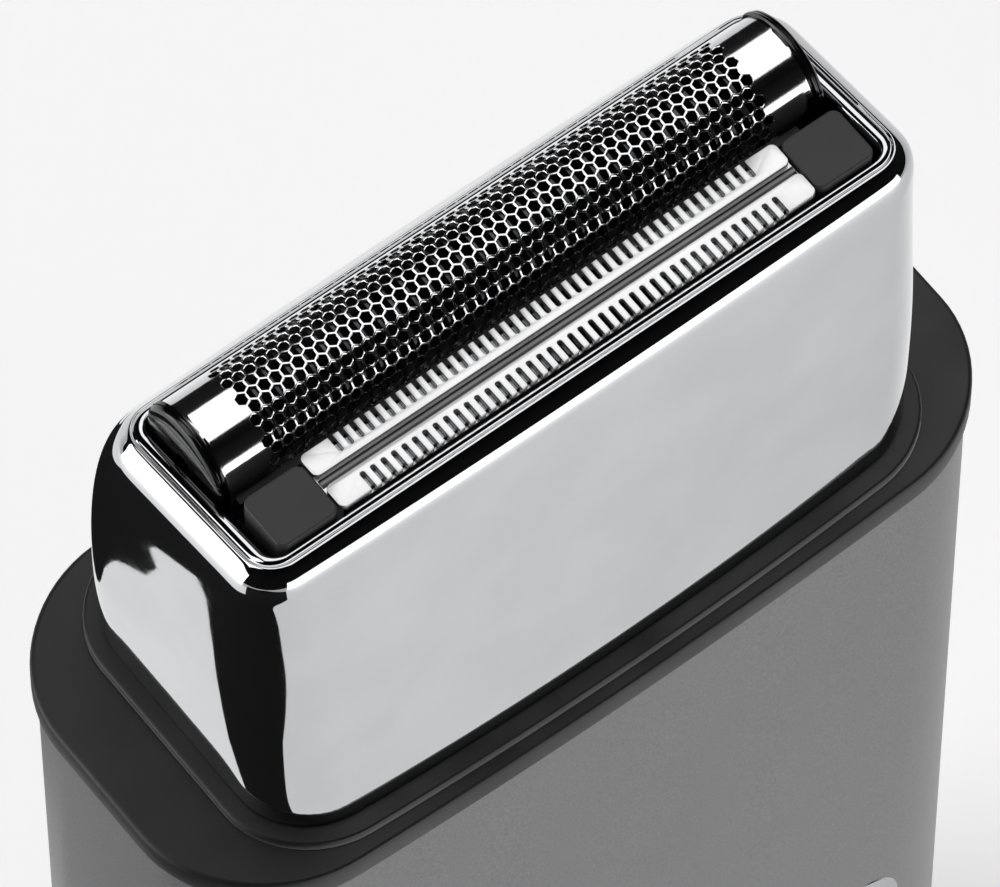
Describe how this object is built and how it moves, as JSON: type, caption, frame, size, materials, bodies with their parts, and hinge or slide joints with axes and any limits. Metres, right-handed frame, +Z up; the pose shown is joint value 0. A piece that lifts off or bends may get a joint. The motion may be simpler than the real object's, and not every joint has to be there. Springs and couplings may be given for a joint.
{
  "type": "electric shaver",
  "caption": "Cordless single-foil electric shaver with a chromed lift-off head, a perforated foil, a toothed trimmer bar, a black collar and a satin grey body.",
  "frame": {"origin": "middle of the base, on the surface that it stands on", "axes": "+Z up, +X along the foil, the trimmer side and the control panel face -Y"},
  "size_m": [0.0626, 0.0288, 0.1273],
  "materials": {
    "case_grey": "fine satin metallic grey lacquer",
    "collar_black": "moulded, low sheen",
    "base_black": "moulded, low sheen",
    "seal_rubber": "soft silicone",
    "chassis_plastic": "moulded glass-filled nylon",
    "zinc_plate": "zinc-plated pressing",
    "cell_sleeve": "shrink sleeve",
    "contact_nickel": "nickel strip",
    "board_green": "solder mask",
    "switch_black": "moulded",
    "panel_silver": "satin silver",
    "light_clear": "clear light guide",
    "jack_black": "moulded with contact sleeve",
    "screw_steel": "black-zinc screw",
    "motor_steel": "drawn can",
    "bush_brass": "sintered",
    "rod_steel": "ground rod",
    "button_black": "gloss moulding",
    "drive_acetal": "natural acetal",
    "spring_steel": "wire",
    "cutter_steel": "ground blades",
    "head_chrome": "mirror plating",
    "head_black": "moulded",
    "foil_nickel": "electroformed nickel, bright",
    "arch_black": "gloss moulding",
    "block_grey": "spark-eroded texture",
    "guard_steel": "satin ground",
    "blade_steel": "ground"
  },
  "bodies": {
    "handle": {"front_shell": "case_grey", "rear_shell": "case_grey", "base_cap": "base_black", "collar_deck": "collar_black", "deck_seal": "seal_rubber", "chassis": "chassis_plastic", "motor_bracket": "zinc_plate", "battery_cell": "cell_sleeve", "battery_contact_top": "contact_nickel", "battery_contact_bottom": "contact_nickel", "circuit_board": "board_green", "tact_switch": "switch_black", "control_panel": "panel_silver", "indicator_light": "light_clear", "charge_jack": "jack_black", "base_screw_left": "screw_steel", "base_screw_right": "screw_steel", "deck_screw_left": "screw_steel", "deck_screw_right": "screw_steel", "motor_can": "motor_steel", "shaft_bush": "bush_brass", "guide_rod_front": "rod_steel", "guide_rod_rear": "rod_steel"},
    "button": {"power_button": "button_black"},
    "rotor": {"motor_shaft": "rod_steel", "eccentric_hub": "drive_acetal"},
    "drive": {"drive_yoke": "drive_acetal", "cutter_spring": "spring_steel"},
    "cutter": {"cutter_carrier": "drive_acetal", "cutter_blades": "cutter_steel"},
    "head": {"head_cap": "head_chrome", "head_frame": "head_black", "trimmer_spring_left": "spring_steel", "trimmer_spring_right": "spring_steel"},
    "cassette": {"foil": "foil_nickel", "foil_frame": "head_black", "foil_end_left": "arch_black", "foil_end_right": "arch_black"},
    "trimmer": {"trimmer_carrier": "block_grey", "trimmer_guard": "guard_steel"},
    "clipper": {"trimmer_blade": "blade_steel"}
  },
  "joints": [
    {"name": "button_press", "type": "slide", "parent": "handle", "child": "button", "axis": [0, 1, 0], "range_m": [0, 0.0005], "stiffness_N_per_m": 600, "springref_m": -0.002},
    {"name": "drive_slide", "type": "slide", "parent": "handle", "child": "drive", "axis": [1, 0, 0], "range_m": [-0.0011, 0.0011]},
    {"name": "rotor_spin", "type": "hinge", "parent": "handle", "child": "rotor", "pos_m": [0, 0.0015, 0.085], "axis": [0, 0, 1], "range_deg": [-67, 67]},
    {"name": "cutter_float", "type": "slide", "parent": "drive", "child": "cutter", "axis": [0, 0, 1], "range_m": [-0.0015, 0], "deforming": ["cutter_spring"]},
    {"name": "head_lift", "type": "slide", "parent": "handle", "child": "head", "axis": [0, 0, 1], "range_m": [0, 0.04]},
    {"name": "foil_float", "type": "slide", "parent": "head", "child": "cassette", "axis": [0, 0, 1], "range_m": [-0.0015, 0], "stiffness_N_per_m": 400, "springref_m": 0.002},
    {"name": "trimmer_float", "type": "slide", "parent": "head", "child": "trimmer", "axis": [0, 0, 1], "range_m": [-0.0008, 0], "stiffness_N_per_m": 400, "springref_m": 0.002, "deforming": ["trimmer_spring_left", "trimmer_spring_right"]},
    {"name": "clipper_slide", "type": "slide", "parent": "trimmer", "child": "clipper", "axis": [1, 0, 0], "range_m": [-0.0011, 0.0011]}
  ],
  "couplings": [
    {"joint": "rotor_spin", "follows": "drive_slide", "rad_per_m": -1053.6},
    {"joint": "clipper_slide", "follows": "drive_slide", "ratio": 1},
    {"joint": "cutter_float", "follows": "foil_float", "ratio": 1}
  ]
}
